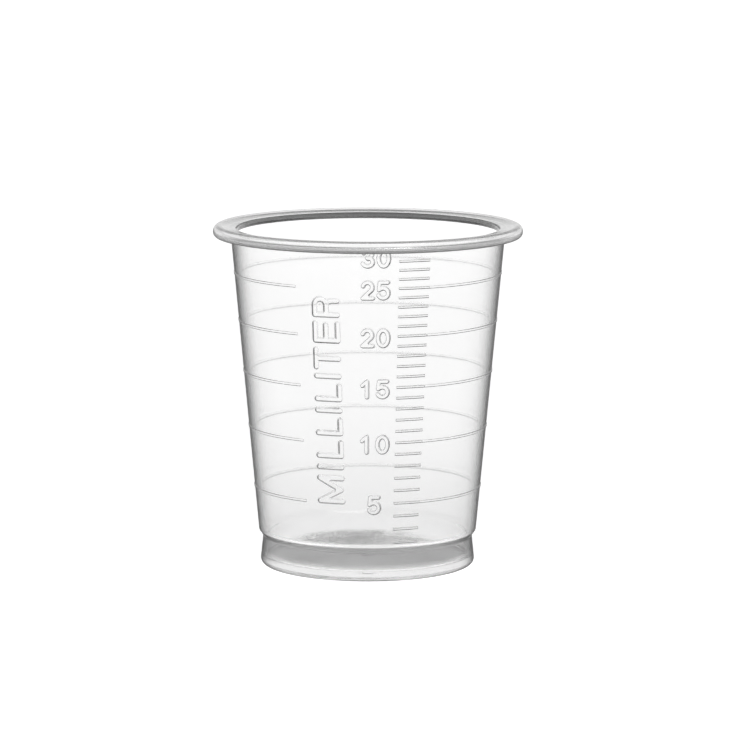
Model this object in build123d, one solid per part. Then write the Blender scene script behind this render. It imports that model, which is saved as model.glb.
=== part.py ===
from build123d import *
from math import atan2, cos, degrees, hypot, pi, radians, sin, tan
import os

# A 30 ml medicine cup, injection moulded in one piece of clear polypropylene.
# Millimetres and degrees. The cup stands on z = 0 with its axis along Z, and its scale faces -Y.

# Overall shape
cup_height = 44.2
wall = 0.75
wall_taper = 5.31
waist_height = 3.75
waist_radius = 13.55
shoulder_height = 0.75
shoulder_step = 0.53
foot_flare = 0.38
foot_chamfer = 0.42

# Base
base_recess = 0.42
floor_thickness = 0.75
foot_ring_width = 1.05
floor_corner_chamfer = 0.4
gate_mark_radius = 0.8
gate_mark_height = 0.2

# Rim: the wall turns out into a flange, which rises a little and ends in a lip turned down
rim_overhang = 2.17
rim_rise = 0.4
lip_drop = 1.55
lip_chamfer = 0.3
rim_root_chamfer = 0.25
crown_width = 0.85
crown_height = 0.95
crown_flats = 3

# Scale marks, raised on the outside of the wall
minor_volume = 1000.0
major_every = 5
mark_height = 0.45
mark_proud = 0.1
mark_flank = 0.1
scale_angle = 13.0
tick_sweep = 13.7
scale_gap = 44.5


def turn(vector):
    """The vector turned a quarter turn to its left in the (radius, height) plane."""
    return Vector(-vector.Y, vector.X)


def inset(before, corner, after):
    """The point one wall inside a corner of the outside profile, square to both its sides."""
    first = turn((corner - before).normalized())
    second = turn((after - corner).normalized())
    return corner + (first + second) * (wall / (1 + first.dot(second)))


# Outside corners as (radius, height), from the foot up
foot_edge = Vector(waist_radius + foot_flare, 0)
waist = Vector(waist_radius, waist_height)
shoulder = waist + Vector(shoulder_step, shoulder_height)
lip_bottom = cup_height - lip_drop


def outside_radius(height):
    """Radius of the tapered wall's outside at a height."""
    return shoulder.X + (height - shoulder.Y) * tan(radians(wall_taper))


wall_at_lip = Vector(outside_radius(lip_bottom), lip_bottom)
rim_radius = outside_radius(cup_height) + rim_overhang

# Inside corners, one wall in from the outside ones
floor_top = base_recess + floor_thickness
inner_waist = inset(foot_edge, waist, shoulder)
inner_shoulder = inset(waist, shoulder, wall_at_lip)
foot_slope = (foot_edge.X - waist.X) / (waist.Y - foot_edge.Y)
floor_edge = Vector(inner_waist.X + (inner_waist.Y - floor_top) * foot_slope, floor_top)
mouth_height = cup_height - rim_rise
inner_taper_run = (mouth_height - inner_shoulder.Y) * tan(radians(wall_taper))
mouth = Vector(inner_shoulder.X + inner_taper_run, mouth_height)
brim = Vector(rim_radius - min(crown_width, 0.5 * rim_overhang), cup_height)
inside_corners = [floor_edge, inner_waist, inner_shoulder, mouth, brim]

# Underside of the rim, one wall below its top
rim_root = inset(brim, mouth, inner_shoulder)
lip_inside_radius = rim_radius - wall
under_rise = (lip_inside_radius - rim_root.X) * rim_rise / (brim.X - mouth.X)
lip_inside = Vector(lip_inside_radius, rim_root.Y + under_rise)


def cone_volume(low, high):
    """Volume of the cone slice between two inside corners."""
    return pi * (high.Y - low.Y) * (low.X**2 + low.X * high.X + high.X**2) / 3


def volume_below(height):
    """What the cup holds when it is filled to a height."""
    volume = 0
    for low, high in zip(inside_corners, inside_corners[1:]):
        share = min(max((height - low.Y) / (high.Y - low.Y), 0), 1)
        volume += cone_volume(low, low + (high - low) * share)
    return volume


def level_of(volume):
    """The height at which the cup holds a volume, found by halving."""
    low, high = floor_top, cup_height
    for _ in range(50):
        middle = (low + high) / 2
        if volume_below(middle) < volume:
            low = middle
        else:
            high = middle
    return (low + high) / 2


def crown():
    """The rim's rounded edge as flats on a quarter of an ellipse, from its side up to the brim."""
    across = rim_radius - brim.X
    up = min(crown_height, 0.6 * lip_drop)
    flats = round(crown_flats)
    points = []
    for step in range(flats):
        angle = pi / 2 * step / flats
        radius = rim_radius - across * (1 - cos(angle))
        points.append(Vector(radius, cup_height - up * (1 - sin(angle))))
    return points


def chamfer_corner(section, corner, length):
    """The section with the corner nearest to a point chamfered."""
    nearest = min(section.vertices(), key=lambda vertex: (Vector(vertex) - corner).length)
    return chamfer(nearest, length)


def cup_body():
    """Floor, foot ring, tapered wall and rolled rim, turned as one section."""
    recess_radius = foot_edge.X - foot_ring_width
    under_gate = base_recess - gate_mark_height
    lip_edge = Vector(rim_radius, lip_bottom)
    outline = [
        Vector(0, under_gate),
        Vector(gate_mark_radius, under_gate),
        Vector(gate_mark_radius, base_recess),
        Vector(recess_radius, base_recess),
        Vector(recess_radius, 0),
        foot_edge,
        waist,
        shoulder,
        rim_root,
        lip_inside,
        Vector(lip_inside_radius, lip_bottom),
        lip_edge,
        *crown(),
        *reversed(inside_corners),
        Vector(0, floor_top),
    ]
    section = make_face(Polyline(*outline, close=True))
    chamfers = [
        (foot_edge, min(foot_chamfer, 0.4 * foot_ring_width)),
        (floor_edge, floor_corner_chamfer),
        (lip_edge, min(lip_chamfer, 0.4 * wall)),
        (rim_root, rim_root_chamfer),
    ]
    for corner, length in chamfers:
        section = chamfer_corner(section, corner, length)
    return revolve(Plane.XZ * section, axis=Axis.Z)


def mark(height, sweep):
    """A raised line whose lower edge is at a height, turned from the scale's edge through an angle.

    It stands proudest near its lower edge and runs out into the wall at its upper one.
    """
    lean = radians(wall_taper)
    along = Vector(sin(lean), cos(lean))
    out = Vector(cos(lean), -sin(lean))
    edge = Vector(outside_radius(height), height)
    flank = along * min(mark_flank, mark_height / 3)
    root = out * (wall / 3)
    crest = out * mark_proud
    upper = edge + along * mark_height
    corners = [edge - root, edge, edge + flank + crest, upper, upper - root]
    section = Plane.XZ * make_face(Polyline(*corners, close=True))
    start = scale_angle - 90
    return revolve(Rot(Z=start) * section, axis=Axis.Z, revolution_arc=sweep)


def scale_marks():
    """Ticks at each whole volume that shows on the wall, and a long ring at every fifth."""
    marks = []
    count = int(volume_below(lip_bottom) / minor_volume)
    for number in range(1, count + 1):
        height = level_of(number * minor_volume)
        if height < shoulder.Y or height + mark_height > lip_bottom:
            continue
        is_major = number % major_every == 0
        sweep = 360 - scale_gap if is_major else tick_sweep
        marks.append(mark(height, sweep))
        print(f"{number} ml mark at {height:.2f} mm, wall radius {outside_radius(height):.2f} mm")
    return marks


cup = cup_body()
for piece in scale_marks():
    cup += piece

os.makedirs("parts", exist_ok=True)
export_step(cup, "parts/cup.step")
print(f"floor top at {floor_top:.2f} mm, brimful {volume_below(cup_height) / 1000:.1f} ml")
print(f"rim radius {rim_radius:.2f} mm, mouth radius {mouth.X:.2f} mm")
print(f"{cup.volume / 1000:.3f} cm3 of plastic, valid {cup.is_valid}, {len(cup.solids())} solid")
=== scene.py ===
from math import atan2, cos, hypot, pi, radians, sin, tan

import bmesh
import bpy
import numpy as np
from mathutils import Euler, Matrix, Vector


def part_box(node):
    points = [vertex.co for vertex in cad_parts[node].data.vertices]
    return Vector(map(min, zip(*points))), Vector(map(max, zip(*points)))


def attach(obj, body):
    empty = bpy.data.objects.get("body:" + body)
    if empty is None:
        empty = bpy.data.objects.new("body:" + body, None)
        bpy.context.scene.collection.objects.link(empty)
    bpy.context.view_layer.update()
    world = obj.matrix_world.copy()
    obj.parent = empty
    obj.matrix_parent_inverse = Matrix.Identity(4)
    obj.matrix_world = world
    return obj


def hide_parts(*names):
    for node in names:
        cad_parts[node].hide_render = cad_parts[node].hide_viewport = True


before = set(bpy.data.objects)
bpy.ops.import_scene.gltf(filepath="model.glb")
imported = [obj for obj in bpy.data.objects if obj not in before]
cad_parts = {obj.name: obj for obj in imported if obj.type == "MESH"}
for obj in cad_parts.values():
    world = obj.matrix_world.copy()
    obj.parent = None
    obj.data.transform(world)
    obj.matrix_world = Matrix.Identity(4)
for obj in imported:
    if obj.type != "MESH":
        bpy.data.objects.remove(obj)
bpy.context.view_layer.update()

# %% [markdown]
# # A clear medicine cup
# The object is a small graduated cup, moulded in one piece of clear polypropylene. It has no
# second piece and nothing moves, so this lesson makes one mesh with great care: first the cup
# as a turned section, then the scale that the mould presses into its wall, then the plastic,
# the light and the camera.

mm = 0.001
_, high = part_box("cup")
cup_height = high.z
rim_radius = min(high.x, high.y)
print(f"the packed cup is {cup_height / mm:.1f} mm high and {2 * rim_radius / mm:.1f} mm across")

# %% [markdown]
# ## The section
# Seen cut in half, the cup is one thin wall that steps out at the foot, leans out by five
# degrees and turns out at the top into a flange whose edge is rolled down. All of it is
# round, so it is drawn once as a chain of points from the middle of the underside, round the
# outside and back down the inside to the middle of the floor. Radii and heights follow the
# CAD part. A lathe shape is the natural choice here: one outline, spun once, gives an even
# wall and a perfect circle everywhere. The inside has one more point a little below the mouth,
# where a band of shade under the rim ends.

# %% Corners of the section, as radius and height
wall = 0.75 * mm
wall_taper = radians(5.31)
waist_height = 3.75 * mm
waist_radius = 13.55 * mm
shoulder_height = 0.75 * mm
shoulder_step = 0.53 * mm
foot_flare = 0.38 * mm
base_recess = 0.42 * mm
foot_ring_width = 1.05 * mm
gate_mark_radius = 0.8 * mm
gate_mark_height = 0.2 * mm
rim_rise = 0.4 * mm
lip_drop = 1.55 * mm
crown_radius = 0.85 * mm
shade_band = 0.8 * mm


def wall_inside(before, corner, after):
    """The point one wall thickness inside a corner, square to both of its sides."""
    first = (corner - before).normalized()
    second = (after - corner).normalized()
    first = Vector((-first.y, first.x))
    second = Vector((-second.y, second.x))
    return corner + (first + second) * (wall / (1 + first.dot(second)))


foot_edge = Vector((waist_radius + foot_flare, 0))
waist = Vector((waist_radius, waist_height))
shoulder = waist + Vector((shoulder_step, shoulder_height))
lip_bottom = cup_height - lip_drop
floor_top = base_recess + wall
wall_at_lip = Vector((shoulder.x + (lip_bottom - shoulder.y) * tan(wall_taper), lip_bottom))
inner_waist = wall_inside(foot_edge, waist, shoulder)
inner_shoulder = wall_inside(waist, shoulder, wall_at_lip)
floor_run = (inner_waist.y - floor_top) * foot_flare / waist_height
floor_edge = Vector((inner_waist.x + floor_run, floor_top))
mouth = Vector((0, cup_height - rim_rise))
mouth.x = inner_shoulder.x + (mouth.y - inner_shoulder.y) * tan(wall_taper)
brim = Vector((rim_radius - crown_radius, cup_height))
rim_slope = (brim.y - mouth.y) / (brim.x - mouth.x)
rim_corner = Vector((rim_radius, mouth.y + (rim_radius - mouth.x) * rim_slope))
rim_root = wall_inside(brim, mouth, inner_shoulder)
band_foot = Vector((mouth.x - shade_band * tan(wall_taper), mouth.y - shade_band))
lip_rise = (rim_radius - wall - rim_root.x) * rim_slope
lip_inside = Vector((rim_radius - wall, rim_root.y + lip_rise))
recess_radius = foot_edge.x - foot_ring_width
under_gate = base_recess - gate_mark_height


def wall_radius(height):
    """Radius of the tapered wall's outside at a height."""
    return shoulder.x + (height - shoulder.y) * tan(wall_taper)


print(f"mouth {2 * mouth.x / mm:.1f} mm across, floor {floor_top / mm:.2f} mm above the table")

# %% [markdown]
# Moulded plastic has no sharp corners, and in clear plastic each round shows as a bright or a
# dark line, so the rounds matter more here than on a painted part. Each corner carries its
# own radius, and an arc of short chords is put in place of it.

# %% Draw the section with its rounds
section_corners = [
    (Vector((0, under_gate)), 0),
    (Vector((gate_mark_radius, under_gate)), 0.1 * mm),
    (Vector((gate_mark_radius, base_recess)), 0.1 * mm),
    (Vector((recess_radius, base_recess)), 0.2 * mm),
    (Vector((recess_radius, 0)), 0.2 * mm),
    (foot_edge, 0.7 * mm),
    (waist, 0.25 * mm),
    (shoulder, 0.3 * mm),
    (rim_root, 0.3 * mm),
    (lip_inside, 0.25 * mm),
    (Vector((lip_inside.x, lip_bottom)), 0.15 * mm),
    (Vector((rim_radius, lip_bottom)), 0.58 * mm),
    (rim_corner, crown_radius),
    (mouth, 0.25 * mm),
    (band_foot, 0),
    (inner_shoulder, 0.4 * mm),
    (inner_waist, 0.4 * mm),
    (floor_edge, 0.4 * mm),
    (Vector((0, floor_top)), 0),
]


def rounded_corner(before, corner, after, radius, chord=0.07 * mm):
    """Points of the arc that rounds a corner, or the corner itself where it has no radius."""
    if radius == 0:
        return [corner]
    back = (before - corner).normalized()
    on = (after - corner).normalized()
    half = back.angle(on) / 2
    reach = radius / tan(half)
    centre = corner + (back + on).normalized() * radius / sin(half)
    start = corner + back * reach - centre
    sweep = start.angle_signed(corner + on * reach - centre)
    steps = max(4, round(abs(sweep) * radius / chord))
    return [centre + Matrix.Rotation(-sweep * step / steps, 2) @ start for step in range(steps + 1)]


def section_points(support=0.04 * mm):
    """The whole section in order, with arcs at its rounded corners.

    A point of support near each end of a straight run keeps the smooth shading of the arcs off it.
    """
    points = []
    for index, (corner, radius) in enumerate(section_corners):
        before = section_corners[index - 1][0]
        after = section_corners[(index + 1) % len(section_corners)][0]
        arc = rounded_corner(before, corner, after, radius)
        if points and (arc[0] - points[-1]).length > 5 * support:
            along = (arc[0] - points[-1]).normalized() * support
            points += [points[-1] + along, arc[0] - along]
        points += arc
    return points


section = section_points()
print(f"the section has {len(section)} points")

# %% [markdown]
# ## Turning the cup
# The chain of points becomes a wire, and the spin operator carries it round the axis, as a
# lathe would. The spin leaves a double seam and a bunch of points at each pole, so doubles
# are merged, and the normals are made to face out of the plastic.

# %% Spin the section round the cup's axis
turns = 192
seam_gap = 0.001 * mm


def select_none():
    """Deselects all objects, because an operator acts on whatever is selected."""
    bpy.ops.object.select_all(action="DESELECT")


def edit(piece):
    """Makes a piece the only selected one and opens it in edit mode."""
    select_none()
    piece.select_set(True)
    bpy.context.view_layer.objects.active = piece
    bpy.ops.object.mode_set(mode="EDIT")


select_none()
wire = bpy.data.meshes.new("cup_section")
wire_edges = [(index, index + 1) for index in range(len(section) - 1)]
wire.from_pydata([(point.x, 0, point.y) for point in section], wire_edges, [])
cup = bpy.data.objects.new("clear_cup", wire)
bpy.context.scene.collection.objects.link(cup)
edit(cup)
bpy.ops.mesh.select_all(action="SELECT")
bpy.ops.mesh.spin(steps=turns, angle=2 * pi, center=(0, 0, 0), axis=(0, 0, 1))
bpy.ops.mesh.select_all(action="SELECT")
bpy.ops.mesh.remove_doubles(threshold=seam_gap)
bpy.ops.mesh.normals_make_consistent(inside=False)
bpy.ops.object.mode_set(mode="OBJECT")
print(f"spun cup: {len(cup.data.vertices)} vertices, {len(cup.data.polygons)} faces")

# %% [markdown]
# ## Where the marks sit
# The mould maker puts each mark at the height where the cup holds that many millilitres. The
# inside is a stack of cone slices, so the volume below any height is known, and halving
# finds the height of each mark.

# %% Height of every whole millilitre
inside_corners = [floor_edge, inner_waist, inner_shoulder, mouth, brim]
millilitre = 1e-6


def volume_below(height):
    """What the cup holds when it is filled to a height, in cubic metres."""
    volume = 0
    for below, above in zip(inside_corners, inside_corners[1:]):
        share = min(max((height - below.y) / (above.y - below.y), 0), 1)
        top = below + (above - below) * share
        volume += pi * (top.y - below.y) * (below.x**2 + below.x * top.x + top.x**2) / 3
    return volume


def level_of(count):
    """The height at which the cup holds a count of millilitres."""
    bottom, top = floor_top, cup_height
    for _ in range(50):
        middle = (bottom + top) / 2
        if volume_below(middle) < count * millilitre:
            bottom = middle
        else:
            top = middle
    return (bottom + top) / 2


mark_height = 0.45 * mm
full_count = 30
levels = {}
for count in range(1, full_count + 1):
    level = level_of(count)
    if shoulder.y < level < lip_bottom - mark_height:
        levels[count] = level
print(f"marks from {min(levels)} to {max(levels)} ml, the 5 ml one at {levels[5] / mm:.2f} mm")

# %% [markdown]
# ## The strokes of the scale
# The relief has three kinds of mark: short ticks for each millilitre, long rings for each
# fifth one that run round the cup but leave a gap for the numbers, and rounded strokes for
# the numbers and the unit. Angles are measured from the front, growing to the right. A stroke
# is a chain of points on the unrolled wall, written as distance along the arc and height.
#
# Each character is drawn in a square of one by one and stretched to its size. The unit's
# letters stand at an even gap, but a few pairs are a little wider or narrower apart.

# %% Numbers and unit as chains of points
scale_angle = radians(13.0)
tick_sweep = radians(13.7)
ring_gap = radians(44.5)
number_angle = radians(3.4)
unit_angle = radians(-18.1)
digit_width = 1.28 * mm
digit_height = 2.0 * mm
digit_pitch = 1.98 * mm
letter_height = 2.95 * mm


def bow(centre, size, start, end, steps=10):
    """Points on an ellipse from one angle to another, in degrees from its right side."""
    points = []
    for step in range(steps + 1):
        angle = radians(start + (end - start) * step / steps)
        points.append((centre[0] + size[0] * cos(angle), centre[1] + size[1] * sin(angle)))
    return points


glyphs = {
    "0": [bow((0.5, 0.5), (0.5, 0.5), 0, 360, 24)],
    "1": [[(0.05, 0.74), (0.5, 1), (0.5, 0)]],
    "2": [bow((0.5, 0.69), (0.46, 0.31), 165, -30, 12) + [(0.02, 0), (1, 0)]],
    "3": [bow((0.48, 0.75), (0.42, 0.25), 160, -80, 10),
          bow((0.48, 0.27), (0.5, 0.27), 95, -160, 12)],
    "5": [[(0.92, 1), (0.14, 1), (0.06, 0.53)] + bow((0.47, 0.32), (0.5, 0.32), 130, -155, 14)],
    "M": [[(0, 0), (0, 1), (0.5, 0.05), (1, 1), (1, 0)]],
    "I": [[(0, 0), (0, 1)]],
    "L": [[(0, 1), (0, 0), (1, 0)]],
    "T": [[(0, 1), (1, 1)], [(0.5, 1), (0.5, 0)]],
    "E": [[(1, 1), (0, 1), (0, 0), (1, 0)], [(0, 0.52), (0.92, 0.52)]],
    "R": [[(0, 0), (0, 1), (0.55, 1)] + bow((0.6, 0.74), (0.4, 0.26), 90, -90, 10) + [(0, 0.48)],
          [(0.6, 0.48), (0.8, 0.42), (0.88, 0.28), (0.9, 0)]],
}
letter_widths = {"M": 3.0, "I": 0.0, "L": 1.7, "T": 2.2, "E": 2.15, "R": 2.0}
letter_gap = 1.24 * mm
extra_gaps = {"MI": 0.2, "IL": 0.23, "IT": -0.08, "ER": -0.1}
print(f"{len(glyphs)} characters drawn as strokes")

# %% Lay the strokes out on the wall
strokes = []


def write_number(text, level):
    """Adds the strokes of a number, centred on its ring."""
    width = digit_pitch * (len(text) - 1) + digit_width
    middle = number_angle * wall_radius(level)
    for place, digit in enumerate(text):
        left = middle - width / 2 + place * digit_pitch
        for chain in glyphs[digit]:
            points = [(left + u * digit_width, level + (v - 0.5) * digit_height) for u, v in chain]
            strokes.append(("number", points))


def write_unit(text, along):
    """Adds the strokes of the unit, read from below upwards and starting at a height."""
    for place, letter in enumerate(text):
        width = letter_widths[letter] * mm
        for chain in glyphs[letter]:
            points = []
            for u, v in chain:
                height = along + u * width
                base = unit_angle * wall_radius(height)
                points.append((base + (0.5 - v) * letter_height, height))
            strokes.append(("letter", points))
        along += width + letter_gap + extra_gaps.get(text[place:place + 2], 0) * mm


full_level = lip_bottom - 0.75 * mm
unit_start = 10.52 * mm
for count in range(5, full_count, 5):
    write_number(str(count), levels[count])
write_number(str(full_count), full_level)
write_unit("MILLILITER", unit_start)
print(f"{len(strokes)} strokes on the wall")

# %% [markdown]
# ## The relief
# A number or a letter is a low plateau with steep flanks, and in clear plastic those flanks
# are all that shows. Their edges have to be crisp, so the part of the wall that carries the
# scale is made again as a sheet whose own edges run along the foot and the crest of every
# flank. The sheet is drawn flat, as if the wall were unrolled, filled with triangles by
# Blender's constrained triangulation, and rolled up again on the cone.
#
# The crest of a letter leans to the right and that of a number to the left, so one flank is
# wider than the other and shows darker. A stroke's sizes are its half width, how proud it
# stands, the width of its flanks and the lean of its crest. Those of a tick or a ring are how
# proud it stands and the width of its flanks.

# %% Height of the relief at places on the wall
stroke_sizes = {
    "number": (0.32 * mm, 0.22 * mm, 0.17 * mm, -0.07 * mm),
    "letter": (0.4 * mm, 0.24 * mm, 0.21 * mm, 0.11 * mm),
}
stroke_top = rim_root.y - 0.32 * mm
tick_height = 0.37 * mm
tick_relief = (0.16 * mm, 0.12 * mm)
ring_relief = (0.08 * mm, 0.09 * mm)
far_away = 1.0
next_to_nothing = 1e-9


def distance_to_chain(places, points):
    """Shortest distance from each place to a chain of straight runs."""
    nearest = np.full(len(places), far_away)
    for start, end in zip(points, points[1:]):
        start = np.array(start)
        run = np.array(end) - start
        share = np.clip(((places - start) @ run) / (run @ run), 0, 1)
        gap = np.linalg.norm(places - start - share[:, None] * run, axis=1)
        nearest = np.minimum(nearest, gap)
    return nearest


def plateau(depth, proud, flank):
    """Relief at a depth inside an outline: a straight flank up to a flat top."""
    return proud * np.clip(depth / flank, 0, 1)


def moved(points, lean):
    """A chain of points moved sideways."""
    return [(along + lean, height) for along, height in points]


def stroke_relief(angles, heights, radii):
    """Relief of the numbers and the letters, straight from the foot of a flank to its crest."""
    places = np.stack([angles * radii, heights], axis=1)
    relief = np.zeros(len(angles))
    for kind, points in strokes:
        half_width, proud, flank, lean = stroke_sizes[kind]
        depth = np.minimum(half_width - distance_to_chain(places, points), stroke_top - heights)
        beyond = distance_to_chain(places, moved(points, lean)) - (half_width - flank)
        beyond = np.maximum(beyond, heights - (stroke_top - flank))
        depth = np.clip(depth, 0, None)
        share = depth / (depth + np.clip(beyond, 0, None) + next_to_nothing)
        relief = np.maximum(relief, proud * share)
    return relief


def mark_relief(angles, heights, radii):
    """Relief of the ticks and of the rings, which are flat bars with steep flanks."""
    relief = np.zeros(len(angles))
    turned = (angles - scale_angle) % (2 * pi)
    tick_ends = np.minimum(turned, tick_sweep - turned) * radii
    ring_ends = np.minimum(turned, 2 * pi - ring_gap - turned) * radii
    for count, level in levels.items():
        above = heights - level
        depth = np.minimum(above, tick_height - above)
        relief = np.maximum(relief, plateau(np.minimum(depth, tick_ends), *tick_relief))
        if count % 5 == 0:
            relief = np.maximum(relief, plateau(np.minimum(depth, ring_ends), *ring_relief))
    return relief


letter_proud = stroke_sizes["letter"][1]
print(f"letters {letter_proud / mm:.2f} mm proud, rings {ring_relief[0] / mm:.2f} mm")

# %% [markdown]
# The rings run almost right round, so they stay in the spun wall. Each needs four rows of
# vertices: the foot and the crest of its lower flank, and the crest and the foot of its upper
# one. The bisect operator cuts those rows. Its threshold is set fine, or else it would merge
# rows that lie less than a tenth of a millimetre apart.

# %% Cut rows of vertices along the rings
wall_bottom = shoulder.y + 0.1 * mm
wall_end = rim_root.y - 0.24 * mm
cone_play = 0.1 * mm
row_gap = 1.3 * mm
row_threshold = 1e-7


def on_wall(centre):
    """True for a face centre on the outside of the tapered wall, clear of its rounded ends."""
    if not wall_bottom < centre.z < wall_end:
        return False
    return abs(hypot(centre.x, centre.y) - wall_radius(centre.z)) < cone_play


def select_wall(piece, first_angle=-pi, last_angle=pi):
    """In edit mode, selects the wall's faces between two angles from the front."""
    mesh = bmesh.from_edit_mesh(piece.data)
    bpy.ops.mesh.select_all(action="DESELECT")
    for face in mesh.faces:
        centre = face.calc_center_median()
        if on_wall(centre) and first_angle < atan2(centre.x, -centre.y) < last_angle:
            face.select_set(True)
    bmesh.update_edit_mesh(piece.data)


ring_levels = [level for count, level in levels.items() if count % 5 == 0]
ring_rows = []
for level in ring_levels:
    for inset in (0, ring_relief[1]):
        ring_rows += [level + inset, level + tick_height - inset]
rows = list(ring_rows)
height = shoulder.y + row_gap
while height < wall_end - 0.5 * row_gap:
    if all(abs(height - row) > 0.4 * row_gap for row in ring_rows):
        rows.append(height)
    height += row_gap
edit(cup)
bpy.ops.mesh.select_mode(type="FACE")
for height in sorted(rows):
    select_wall(cup)
    bpy.ops.mesh.bisect(plane_co=(0, 0, height), plane_no=(0, 0, 1), threshold=row_threshold)
bpy.ops.object.mode_set(mode="OBJECT")
print(f"{len(rows)} rows cut, {len(cup.data.polygons)} faces")

# %% [markdown]
# The window for the scale is opened between two columns of the spun wall. The edge of the
# hole is kept, because the new sheet has to meet it vertex for vertex.

# %% Open the window
column = 2 * pi / turns
window_left = -19 * column
window_right = 16 * column
edit(cup)
select_wall(cup, window_left, window_right)
bpy.ops.mesh.delete(type="FACE")
mesh = bmesh.from_edit_mesh(cup.data)
window_edge = [tuple(vertex.co) for vertex in mesh.verts if vertex.is_boundary]
bpy.ops.object.mode_set(mode="OBJECT")
window_edge = [(atan2(x, -y), z) for x, y, z in window_edge]
print(f"window with {len(window_edge)} vertices round its edge")

# %% [markdown]
# A stroke's outline is its chain of points moved sideways to both sides, with a round cap at
# each end and round outer corners. It is drawn twice: once at the foot of the flank, at the
# full half width, and once at its crest, which leans.

# %% Outline of a stroke
outline_chord = 0.12 * mm
closing_gap = 0.001 * mm
nearly_straight = 0.02


def cap(centre, start):
    """The points between the two sides of a round end, clockwise from one side."""
    arm = start - centre
    steps = max(4, round(pi * arm.length / outline_chord))
    return [centre + Matrix.Rotation(-pi * step / steps, 2) @ arm for step in range(1, steps)]


def bend(here, normals, side, half_width):
    """The points of one side of a stroke where it bends, round on the outer side of the bend."""
    turn = -normals[0].angle_signed(normals[1], 0)
    if abs(turn) < nearly_straight or turn * side > 0:
        middle = (normals[0] + normals[1]).normalized()
        return [here + middle * half_width / cos(turn / 2)]
    steps = max(1, round(abs(turn) * half_width / outline_chord))
    turns_to = [Matrix.Rotation(turn * step / steps, 2) for step in range(steps + 1)]
    return [here + turned @ normals[0] * half_width for turned in turns_to]


def outline(points, half_width):
    """A closed outline round a chain of points, or two of them where the chain is closed."""
    path = [Vector(point) for point in points]
    closed = (path[0] - path[-1]).length < closing_gap
    if closed:
        path = path[:-1]
    count = len(path)
    sides = []
    for side in (1, -1):
        line = []
        for index, here in enumerate(path):
            before = path[index - 1] if index or closed else None
            after = path[(index + 1) % count] if index < count - 1 or closed else None
            way_in = (here - before).normalized() if before else None
            way_out = (after - here).normalized() if after else None
            normals = [Vector((-way.y, way.x)) * side for way in (way_in, way_out) if way]
            if len(normals) == 1:
                line.append(here + normals[0] * half_width)
            else:
                line += bend(here, normals, side, half_width)
        sides.append(line)
    if closed:
        return sides
    there, back = sides
    return [there + cap(path[-1], there[-1]) + back[::-1] + cap(path[0], back[0])]


def box_outline(left, right, bottom, top):
    """A closed outline round a rectangle given by two angles and two heights."""
    corners = [(left, bottom), (right, bottom), (right, top), (left, top)]
    return [Vector((angle * wall_radius(height), height)) for angle, height in corners]


print(f"outlines have a chord of {outline_chord / mm:.2f} mm")

# %% Collect the outlines of the whole scale
outlines = []
for kind, points in strokes:
    half_width, proud, flank, lean = stroke_sizes[kind]
    for inset, chain in ((0, points), (flank, moved(points, lean))):
        for line in outline(chain, half_width - inset):
            top = stroke_top - inset
            outlines.append([Vector((point.x, min(point.y, top))) for point in line])
for count, level in levels.items():
    for inset in (0, tick_relief[1]):
        turn = inset / wall_radius(level)
        left, right = scale_angle + turn, scale_angle + tick_sweep - turn
        outlines.append(box_outline(left, right, level + inset, level + tick_height - inset))
print(f"{len(outlines)} outlines")

# %% [markdown]
# The sheet is laid out in millimetres, with the angle turned into a width at the wall's mean
# radius. The edge of the window, the outlines and the rows of the rings are its fixed edges,
# and an even scatter of points between them keeps the triangles well shaped.

# %% Triangulate the sheet
from mathutils.geometry import delaunay_2d_cdt

mean_radius = wall_radius(0.5 * cup_height)
longest_edge = 0.45
unsplit = 100


def on_sheet(angle, height):
    """A place on the wall as a point of the flat sheet, in millimetres."""
    return Vector((angle * mean_radius / mm, height / mm))


sheet_points = []
sheet_edges = []


def add_line(points, closed, longest=longest_edge):
    """Adds fixed edges through points of the sheet, none longer than a given length."""
    ends = points[1:] + points[:1] if closed else points[1:]
    for start, end in zip(points, ends):
        steps = max(1, int((end - start).length / longest) + 1)
        for step in range(steps):
            sheet_points.append(start.lerp(end, step / steps))
            sheet_edges.append((len(sheet_points) - 1, len(sheet_points)))
        sheet_points.append(end)


edge_angles = sorted(set(round(angle / column) for angle, _ in window_edge))
edge_heights = {}
for angle, height in window_edge:
    edge_heights.setdefault(round(angle / column), []).append(height)
for place in (edge_angles[0], edge_angles[-1]):
    side = sorted(edge_heights[place])
    add_line([on_sheet(place * column, height) for height in side], False, unsplit)
for pick in (min, max):
    line = [on_sheet(place * column, pick(edge_heights[place])) for place in edge_angles]
    add_line(line, False, unsplit)
for closed_line in outlines:
    line = [on_sheet(point.x / wall_radius(point.y), point.y) for point in closed_line]
    add_line(line, True)
for height in ring_rows:
    for first, last in ((window_left, scale_angle - ring_gap), (scale_angle, window_right)):
        add_line([on_sheet(first, height), on_sheet(last, height)], False)
for level in ring_levels:
    turn = ring_relief[1] / wall_radius(level)
    gap_start = scale_angle - ring_gap
    for angle in (gap_start - turn, gap_start, scale_angle, scale_angle + turn):
        add_line([on_sheet(angle, level), on_sheet(angle, level + tick_height)], False)
print(f"{len(sheet_points)} points and {len(sheet_edges)} fixed edges")

# %% Fill the sheet between the lines
fill_gap = 0.55
least_gap = 0.22
same_place = 1e-4


def far_from_lines(points, nearest):
    """The points that are at least a given distance from every point already on the sheet."""
    taken = np.array([tuple(point) for point in sheet_points])
    kept = []
    for point in points:
        gap = np.abs(taken - np.array(point)).max(axis=1).min()
        if gap > nearest:
            kept.append(point)
    return kept


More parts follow.
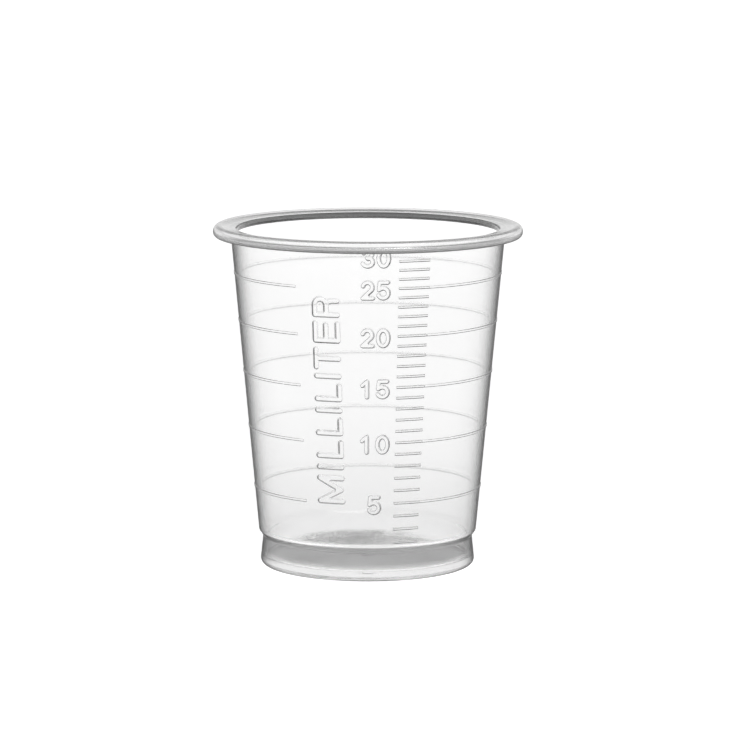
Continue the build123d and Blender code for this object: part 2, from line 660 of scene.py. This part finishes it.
filling = []
left, right = on_sheet(window_left, 0).x, on_sheet(window_right, 0).x
bottom = min(height for _, height in window_edge) / mm
top = max(height for _, height in window_edge) / mm
across = round((right - left) / fill_gap)
up = round((top - bottom) / fill_gap)
for row in range(1, up):
    for place in range(1, across):
        shift = 0.5 * (row % 2)
        x = left + (right - left) * (place + shift) / (across + 1)
        filling.append((x, bottom + (top - bottom) * row / up))
sheet_points += [Vector(point) for point in far_from_lines(filling, least_gap)]
filled = delaunay_2d_cdt(sheet_points, sheet_edges, [], 0, same_place)
flat_points, sheet_faces = filled[0], filled[2]
print(f"sheet of {len(flat_points)} vertices and {len(sheet_faces)} triangles")

# %% Roll the sheet up and join it to the cup
join_gap = 0.004 * mm
sheet_mesh = bpy.data.meshes.new("scale_window")
rolled = []
for point in flat_points:
    angle, height = point.x * mm / mean_radius, point.y * mm
    radius = wall_radius(height)
    rolled.append((radius * sin(angle), -radius * cos(angle), height))
sheet_mesh.from_pydata(rolled, [], sheet_faces)
sheet = bpy.data.objects.new("scale_window", sheet_mesh)
bpy.context.scene.collection.objects.link(sheet)
select_none()
sheet.select_set(True)
cup.select_set(True)
bpy.context.view_layer.objects.active = cup
bpy.ops.object.join()
edit(cup)
bpy.ops.mesh.select_all(action="SELECT")
bpy.ops.mesh.remove_doubles(threshold=join_gap)
bpy.ops.mesh.normals_make_consistent(inside=False)
mesh = bmesh.from_edit_mesh(cup.data)
open_edges = sum(1 for edge in mesh.edges if not edge.is_manifold)
bpy.ops.object.mode_set(mode="OBJECT")
print(f"joined cup: {len(cup.data.polygons)} faces, {open_edges} open edges")

# %% [markdown]
# Now every vertex of the wall is moved out by the relief at its own place. The shape of the
# marks is in one function, so the spun part of the rings and the sheet agree where they meet.

# %% Raise the marks
def raise_marks(piece):
    """Moves the wall's vertices out by the relief and counts those that moved."""
    places = np.zeros(len(piece.data.vertices) * 3)
    piece.data.vertices.foreach_get("co", places)
    places = places.reshape(-1, 3)
    radii = np.hypot(places[:, 0], places[:, 1])
    cone = wall_radius(places[:, 2])
    in_height = (places[:, 2] > wall_bottom) & (places[:, 2] < wall_end)
    outer = in_height & (np.abs(radii - cone) < cone_play)
    angles = np.arctan2(places[outer, 0], -places[outer, 1])
    heights = places[outer, 2]
    relief = mark_relief(angles, heights, cone[outer])
    relief = np.maximum(relief, stroke_relief(angles, heights, cone[outer]))
    radius = cone[outer] + relief
    places[outer, 0] = radius * np.sin(angles)
    places[outer, 1] = -radius * np.cos(angles)
    piece.data.vertices.foreach_set("co", places.ravel())
    piece.data.update()
    return int((relief > 0).sum())


raised = raise_marks(cup)
triangles = sum(len(polygon.vertices) - 2 for polygon in cup.data.polygons)
print(f"{raised} vertices raised, {triangles} triangles in the cup")

# %% [markdown]
# The flanks of the marks get painted shade, darker than the wall around them, and the outside of
# the wall gets the painted dark outline of the cup where it is seen edge on. This painted shade is
# darkest on the left flanks of a letter, on the right ones of a number and on the lower ones of a
# tick or a ring, so a flank's value also depends on the way it faces.

# %% How dark a flank looks
letters_from = radians(-30)
numbers_from = radians(-11)
bars_from = radians(12)
# strengths of a flank's painted shade when it faces left, right, down and up
flank_shade_strengths = {
    "letter": (1.0, 0.4, 0.6, 0.4),
    "number": (0.6, 1.0, 0.8, 0.6),
    "bar": (0.8, 0.8, 1.0, 0.8),
}


def mark_kind(angle):
    """The kind of mark that stands at an angle from the front."""
    if letters_from < angle < numbers_from:
        return "letter"
    return "number" if numbers_from < angle < bars_from else "bar"


def flank_strength(normal, centre):
    """How dark a flank's painted shade is, by the share of its normal to the left, right, down and
    up.
    """
    angle = atan2(centre.x, -centre.y)
    left, right, down, up = flank_shade_strengths[mark_kind(angle)]
    sideways = normal.x * cos(angle) + normal.y * sin(angle)
    upright = normal.z + sin(wall_taper)
    across = sideways**2 * (right if sideways > 0 else left)
    along = upright**2 * (up if upright > 0 else down)
    return (across + along) / (sideways**2 + upright**2)


print(f"strengths for {len(flank_shade_strengths)} kinds of flank")

# %% [markdown]
# The rim's thick edge shades itself. In the photograph that gives a dark band on the inside
# under the mouth, a dark lower half of the lip and a dark line along the crest's front. The
# flanks, the outside and this shade are stored as values on the faces, which the material
# reads later.

# %% Note the flanks, the outside and the shade on the faces
flank_reach = 0.35 * mm
flank_lean = radians(25)
lip_shade = 0.95
lip_shade_top = lip_bottom + 0.95 * mm
lip_shade_fade = 0.8 * mm
crest_bottom = cup_height - 0.22 * mm
crest_share = 0.85


def outward_at(centre):
    """The level direction from the axis to a place, or down for a place on the axis."""
    radius = hypot(centre.x, centre.y)
    if radius == 0:
        return Vector((0, 0, -1))
    return Vector((centre.x / radius, centre.y / radius, 0))


def flank_value(face):
    """The strength of the painted shade on a flank, a face on the wall that leans away from it, or
    nought.
    """
    centre = face.center
    square = outward_at(centre) * cos(wall_taper) - Vector((0, 0, sin(wall_taper)))
    near_cone = abs(hypot(centre.x, centre.y) - wall_radius(centre.z)) < flank_reach
    on_cone = wall_bottom < centre.z < wall_end and near_cone
    if on_cone and face.normal.dot(square) < cos(flank_lean):
        return flank_strength(face.normal, centre)
    return 0.0


def outside_value(face):
    """One for a face on the outside below the rim, where the painted dark outline goes, and nought
    for any other.
    """
    faces_out = face.normal.dot(outward_at(face.center))
    return 1.0 if face.center.z < wall_end and faces_out > 0.3 else 0.0


def shade_value(face):
    """How much the rim shades a face: under the mouth, low on the lip and along its crest."""
    centre = face.center
    faces_out = face.normal.dot(outward_at(centre))
    if band_foot.y < centre.z < mouth.y and faces_out < -0.6:
        return 1.0
    if hypot(centre.x, centre.y) <= lip_inside.x + 0.1 * mm or faces_out <= 0.1:
        return 0.0
    if centre.z > crest_bottom and faces_out > 0.15:
        return lip_shade * crest_share
    return lip_shade * min(max((lip_shade_top - centre.z) / lip_shade_fade, 0), 1)


for name, value_of in (("flank", flank_value), ("outside", outside_value), ("shade", shade_value)):
    values = [value_of(face) for face in cup.data.polygons]
    attribute = cup.data.attributes.new(name, "FLOAT", "FACE")
    attribute.data.foreach_set("value", values)
    print(f"{name}: {sum(1 for value in values if value)} faces")

# %% Smooth shading and the piece's place in the frame
crease_angle = radians(33)
select_none()
cup.select_set(True)
bpy.context.view_layer.objects.active = cup
bpy.ops.object.shade_smooth_by_angle(angle=crease_angle)
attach(cup, "root")
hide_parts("cup")
print("the cup stands in for its CAD solid")

# %% [markdown]
# ## A helper for shader nodes
# The plastic, the floor and the world are all built from shader nodes. One small class adds
# the nodes and links them, so that each recipe reads as a list of what is mixed with what.

# %% Class that adds and links nodes
class NodeTree:
    """The nodes of a material or a world, empty at first."""

    def __init__(self, owner):
        owner.use_nodes = True
        self.nodes = owner.node_tree.nodes
        self.links = owner.node_tree.links
        self.nodes.clear()

    def feed(self, socket, value):
        """Links a socket to another or sets its value, where a number gives a colour's grey."""
        if isinstance(value, bpy.types.NodeSocket):
            self.links.new(value, socket)
        elif socket.type == "RGBA":
            socket.default_value = (value, value, value, 1)
        else:
            socket.default_value = value

    def add(self, kind, inputs=None, **settings):
        """A new node with some of its settings made and some of its inputs fed."""
        node = self.nodes.new(kind)
        for name, value in settings.items():
            setattr(node, name, value)
        for key, value in (inputs or {}).items():
            self.feed(node.inputs[key], value)
        return node

    def math(self, operation, first, second=0):
        """A maths node on one or two values."""
        return self.add("ShaderNodeMath", {0: first, 1: second}, operation=operation).outputs[0]

    def times(self, first, *others):
        """The product of several values."""
        for other in others:
            first = self.math("MULTIPLY", first, other)
        return first

    def fade(self, value, start, end):
        """A mask that goes smoothly from one to nought as a value goes from start to end."""
        inputs = {"Value": value, "From Min": start, "From Max": end, "To Min": 1, "To Max": 0}
        node = self.add("ShaderNodeMapRange", inputs, interpolation_type="SMOOTHSTEP")
        return node.outputs["Result"]

    def ramp(self, value, stops, unit=1):
        """A ramp of greys over a value, with stops as places in a unit and their levels."""
        node = self.add("ShaderNodeValToRGB", {"Fac": value})
        elements = node.color_ramp.elements
        for place, _ in stops[1:-1]:
            elements.new(place / unit)
        for element, (place, level) in zip(elements, stops):
            element.position = place / unit
            element.color = (level, level, level, 1)
        return node.outputs["Color"]

    def mix(self, factor, first, second, blend="MIX"):
        """A mix of two colours, each a socket or a grey."""
        inputs = {0: factor, 6: first, 7: second}
        return self.add("ShaderNodeMix", inputs, data_type="RGBA", blend_type=blend).outputs[2]


print("nodes can be added")

# %% [markdown]
# ## Clear polypropylene
# A clear plastic is mostly seen by what it bends: it is bright where it shows the backdrop and dark
# where a steep edge sends the view past it. The shader is a plain dielectric. Its tint carries
# painted shade, which deepens where the surface is seen edge on, down to nearly black, and paints
# the dark outline of the cup. The flanks of the marks and the rim have ramps of painted shade of
# their own, and the tint also changes with height, darker low on the wall.
#
# A few zones differ from the rest by painted shade: the waist is painted grey, the rim is painted
# dark where it shades itself and along its crest, and the floor is painted grey and frosted, with a
# wrinkled patch at its back whose wrinkles carry painted dark streaks.

# %% Tints, zones and roughness of the plastic
plastic_ior = 1.49
clear_tint = 0.975
# painted shade of the outside, the cup's dark outline, from face on to edge on
edge_on_painted_shade = [(0, 0.975), (0.35, 0.97), (0.454, 0.92), (0.522, 0.85), (0.564, 0.75), (0.6, 0.64),
                 (0.636, 0.53), (0.678, 0.36), (0.732, 0.19), (0.8, 0.06), (0.845, 0.012), (1, 0)]
# painted shade of the flanks of the marks, from face on to edge on
flank_painted_shade = [(0, 0.8), (0.2, 0.5), (0.35, 0.18), (0.5, 0.05), (0.65, 0.01), (1, 0)]
# painted shade of the rim, from face on to edge on
rim_painted_shade = [(0, 0.97), (0.6, 0.97), (0.72, 0.85), (0.85, 0.28), (1, 0.05)]
# a tint by height, darker low on the wall
height_tints = [(0, 0.95), (4.5 * mm, 0.9), (9 * mm, 0.93), (14 * mm, 0.97), (22 * mm, 1),
                (cup_height, 0.99)]
# painted shade: the grey of the waist
waist_painted_shade = 0.28
# painted shade of the rim, under the mouth and low on the lip
shade_tint = 0.04
# painted shade: a dark line along the rim's crest
crest_painted_shade = 0.15
# painted shade: dark streaks along the wrinkles of the patch
patch_streak_shade = 0.5
# painted shade: the grey of the floor
floor_painted_shade = 0.8
floor_roughness = 0.14
wall_roughness = 0.08
rim_roughness = 0.12

# Each zone's mask is one at the first of its two measures and nought at the second
floor_radii = (11 * mm, 13 * mm)
floor_heights = (1.3 * mm, 1.6 * mm)
rim_radii = (18.1 * mm, 17.8 * mm)
rim_heights = (43.2 * mm, 42.9 * mm)
shoulder_heights = (4.6 * mm, 4.3 * mm)
waist_heights = (2.4 * mm, 1.0 * mm)
crest_heights = (cup_height - 0.005 * mm, cup_height - 0.03 * mm)
patch_reaches = (2.5 * mm, 7 * mm)
patch_heights = (1.3 * mm, 2.1 * mm)
streak_levels = (0.56, 0.42)

patch_x = -1.5 * mm
patch_y = 10.5 * mm
patch_squeeze = 0.65
wrinkle_stretch = (0.3, 1, 2)
wrinkle_scale = 1700
wrinkle_detail = 3
wrinkle_depth = 1.2 * mm
print(f"{len(edge_on_painted_shade)} tints from face on to edge on")

# %% [markdown]
# A ray can be caught inside the wall, where it is mirrored from side to side. The renderer
# gives up on such a ray and leaves it black, so after a few turns the plastic lets it pass.
# The plastic also lets the lamp's shadow rays pass, because a clear cup throws a faint shadow.

# %% Material of the cup
shadow_tint = 0.93
deepest_ray = 8
most_mirrorings = 3


def distance(tree, first, second):
    """The length of the hypotenuse over two values."""
    sum_of_squares = tree.math("ADD", tree.times(first, first), tree.times(second, second))
    return tree.math("SQRT", sum_of_squares)


def zone_masks(tree, place, outside, from_air):
    """Masks of the floor, the rim, the waist, the crest and the wrinkled patch, which carry painted
    shade and roughness.
    """
    x, y, z = tree.add("ShaderNodeSeparateXYZ", {0: place}).outputs
    radius = distance(tree, x, y)
    beyond_wall = tree.fade(radius, *rim_radii)
    above_shoulder = tree.fade(z, *shoulder_heights)
    below_shoulder = tree.math("SUBTRACT", 1.0, above_shoulder)
    above_foot = tree.fade(z, *waist_heights)
    beside = tree.times(tree.math("SUBTRACT", x, patch_x), patch_squeeze)
    behind = tree.math("SUBTRACT", y, patch_y)
    near_patch = tree.fade(distance(tree, beside, behind), *patch_reaches)
    return {
        "height": tree.math("DIVIDE", z, cup_height),
        "floor": tree.times(tree.fade(radius, *floor_radii), tree.fade(z, *floor_heights)),
        "rim": tree.math("MAXIMUM", beyond_wall, tree.fade(z, *rim_heights)),
        "waist": tree.times(below_shoulder, above_foot, outside, from_air),
        "crest": tree.times(tree.fade(z, *crest_heights), from_air),
        "patch": tree.times(near_patch, tree.fade(z, *patch_heights)),
    }


def plastic_tint(tree, masks, noted, from_air):
    """The plastic's colour: a tint of painted shade that deepens edge on, with more painted shade
    zone by zone.
    """
    facing = tree.add("ShaderNodeLayerWeight", {"Blend": 0.5}).outputs["Facing"]
    tint = tree.mix(noted["outside"], clear_tint, tree.ramp(facing, edge_on_painted_shade))
    tint = tree.mix(noted["flank"], tint, tree.ramp(facing, flank_painted_shade))
    tint = tree.mix(1.0, tint, tree.ramp(masks["height"], height_tints, cup_height), "MULTIPLY")
    tint = tree.mix(masks["floor"], tint, floor_painted_shade)
    tint = tree.mix(masks["rim"], tint, tree.ramp(facing, rim_painted_shade))
    tint = tree.mix(tree.times(noted["shade"], from_air), tint, shade_tint)
    tint = tree.mix(1.0, tint, tree.mix(masks["waist"], 1.0, waist_painted_shade), "MULTIPLY")
    return tree.mix(masks["crest"], tint, crest_painted_shade)


def plastic_roughness(tree, masks, from_air):
    """Roughness where a ray enters, more on the floor, and on the rim from both sides."""
    frosted = tree.times(masks["floor"], from_air, floor_roughness - wall_roughness)
    roughness = tree.math("ADD", frosted, tree.times(from_air, wall_roughness))
    return tree.math("MAXIMUM", roughness, tree.times(masks["rim"], rim_roughness))


def clear_plastic():
    """Clear polypropylene with painted shade, darker where it is seen edge on, with a frosted
    floor.
    """
    material = bpy.data.materials.new("clear_polypropylene")
    tree = NodeTree(material)
    noted = {}
    for name in ("outside", "flank", "shade"):
        noted[name] = tree.add("ShaderNodeAttribute", attribute_name=name).outputs["Fac"]
    place = tree.add("ShaderNodeTexCoord").outputs["Object"]
    backfacing = tree.add("ShaderNodeNewGeometry").outputs["Backfacing"]
    from_air = tree.math("SUBTRACT", 1.0, backfacing)
    masks = zone_masks(tree, place, noted["outside"], from_air)
    stretching = {0: place, 1: wrinkle_stretch}
    stretched = tree.add("ShaderNodeVectorMath", stretching, operation="MULTIPLY")
    wrinkles = tree.add("ShaderNodeTexNoise", {
        "Vector": stretched.outputs["Vector"],
        "Scale": wrinkle_scale,
        "Detail": wrinkle_detail,
    }).outputs["Fac"]
    streaks = tree.times(tree.fade(wrinkles, *streak_levels), masks["patch"])
    bump = tree.add("ShaderNodeBump", {
        "Strength": masks["patch"],
        "Distance": wrinkle_depth,
        "Height": wrinkles,
    })
    plastic = tree.add("ShaderNodeBsdfPrincipled", {
        "Base Color": tree.mix(streaks, plastic_tint(tree, masks, noted, from_air), patch_streak_shade),
        "Roughness": plastic_roughness(tree, masks, from_air),
        "IOR": plastic_ior,
        "Transmission Weight": 1.0,
        "Normal": bump.outputs["Normal"],
    })
    path = tree.add("ShaderNodeLightPath").outputs
    deep = tree.math("GREATER_THAN", path["Ray Depth"], deepest_ray)
    caught = tree.math("GREATER_THAN", path["Glossy Depth"], most_mirrorings)
    passing = tree.math("MAXIMUM", tree.math("MAXIMUM", path["Is Shadow Ray"], deep), caught)
    through = tree.add("ShaderNodeBsdfTransparent", {"Color": shadow_tint})
    shaders = {0: passing, 1: plastic.outputs["BSDF"], 2: through.outputs["BSDF"]}
    mixed = tree.add("ShaderNodeMixShader", shaders)
    tree.add("ShaderNodeOutputMaterial", {"Surface": mixed.outputs["Shader"]})
    return material


cup.data.materials.clear()
cup.data.materials.append(clear_plastic())
print("clear plastic set")

# %% [markdown]
# ## Floor, light and camera
# The cup is photographed on white paper. Clear plastic shows its surroundings in two ways, so
# the paper and the world are set for each of them. Through the plastic both are white, apart
# from a dimmer zenith, which gives the rim and the raised marks something dark to bend towards
# the eye. In a mirror image on its outside both are grey up to well above the horizon, which
# draws the dark outline of the cup. A ray mirrored there has a depth of one, and a ray that
# comes out of the plastic has a greater one, so a threshold of 1.5 tells them apart.

# %% Floor
select_none()
bpy.ops.mesh.primitive_plane_add(size=3.0, location=(0, 0, 0))
floor = bpy.context.object
floor.name = "floor"
near_glow = 0.66
far_glow = 0.92
glow_radii = (0.1, 0.6)
mirrored_share = 0.2
paper_white = 0.8
mirrored_white = 0.25
first_bounce = 1.5


def floor_finish():
    """White paper: white to the eye and through the plastic, dimmer in the plastic's mirror.

    It glows more far from the cup, where the lamp's light fades, so it is white to its edge.
    """
    material = bpy.data.materials.new("white_paper")
    tree = NodeTree(material)
    path = tree.add("ShaderNodeLightPath").outputs
    is_glossy = path["Is Glossy Ray"]
    seen = tree.math("MAXIMUM", path["Is Camera Ray"], path["Is Transmission Ray"])
    inside = tree.math("GREATER_THAN", path["Ray Depth"], first_bounce)
    mirrored = tree.times(is_glossy, tree.math("MAXIMUM", inside, mirrored_share))
    seen = tree.math("MAXIMUM", seen, mirrored)
    from_outside = tree.math("SUBTRACT", is_glossy, inside)
    white = tree.mix(from_outside, paper_white, mirrored_white)
    paper = tree.add("ShaderNodeBsdfDiffuse", {"Color": white})
    place = tree.add("ShaderNodeTexCoord").outputs["Object"]
    length = tree.add("ShaderNodeVectorMath", {0: place}, operation="LENGTH").outputs["Value"]
    lift = tree.times(tree.fade(length, *glow_radii), near_glow - far_glow)
    level = tree.times(tree.math("ADD", lift, far_glow), seen)
    glow = tree.add("ShaderNodeEmission", {"Strength": level})
    shaders = {0: paper.outputs["BSDF"], 1: glow.outputs["Emission"]}
    both = tree.add("ShaderNodeAddShader", shaders)
    tree.add("ShaderNodeOutputMaterial", {"Surface": both.outputs["Shader"]})
    return material


floor.data.materials.append(floor_finish())
print("floor laid")

# %% World
sky_through = [(0.12, 1), (0.5, 0.35)]
sky_mirrored = [(0.25, 0.25), (0.42, 1)]
diffuse_dimming = 0.64


def light_world():
    """White to the camera, dim overhead through the plastic, dim low down in its mirror."""
    world = bpy.data.worlds.new("studio")
    bpy.context.scene.world = world
    tree = NodeTree(world)
    direction = tree.add("ShaderNodeTexCoord").outputs["Generated"]
    up = tree.add("ShaderNodeSeparateXYZ", {0: direction}).outputs["Z"]
    path = tree.add("ShaderNodeLightPath").outputs
    mirrored = tree.math("SUBTRACT", path["Is Glossy Ray"], path["Is Transmission Ray"])
    outside = tree.math("LESS_THAN", path["Ray Depth"], first_bounce)
    mirrored = tree.times(mirrored, outside)
    dimming = tree.times(path["Is Diffuse Ray"], diffuse_dimming)
    sky = tree.add("ShaderNodeBackground", {
        "Color": tree.mix(mirrored, tree.ramp(up, sky_through), tree.ramp(up, sky_mirrored)),
        "Strength": tree.math("SUBTRACT", 1.0, dimming),
    })
    plain = tree.add("ShaderNodeBackground", {"Color": 1})
    shaders = {0: path["Is Camera Ray"], 1: sky.outputs[0], 2: plain.outputs[0]}
    mixed = tree.add("ShaderNodeMixShader", shaders)
    tree.add("ShaderNodeOutputWorld", {"Surface": mixed.outputs[0]})


light_world()
print("world lit")

# %% Lamp
lamp_place = Vector((0.25, -0.3, 1.2))
lamp_side = 0.7
select_none()
bpy.ops.object.light_add(type="AREA", location=lamp_place)
lamp = bpy.context.object
lamp.name = "soft_box"
lamp.data.shape = "RECTANGLE"
lamp.data.size = lamp_side
lamp.data.size_y = lamp_side
lamp.data.energy = 6.0
lamp.rotation_euler = lamp_place.to_track_quat("Z", "Y").to_euler()
lamp.visible_glossy = False
print("soft box hung")

# %% Camera
camera_place = (0.943 * mm, -545.4 * mm, 107.66 * mm)
camera_pitch = radians(8.666)
camera_roll = radians(0.1)
camera_data = bpy.data.cameras.new("camera")
camera = bpy.data.objects.new("camera", camera_data)
bpy.context.scene.collection.objects.link(camera)
camera_data.sensor_width = 36.0
camera_data.lens = 204.8
camera_data.clip_start = 0.05
camera.matrix_world = (
    Matrix.Translation(camera_place)
    @ Euler((pi / 2 - camera_pitch, 0, 0)).to_matrix().to_4x4()
    @ Matrix.Rotation(camera_roll, 4, "Z")
)
bpy.context.scene.camera = camera
bpy.context.scene.view_settings.view_transform = "Standard"
print("camera placed at the photograph's view")
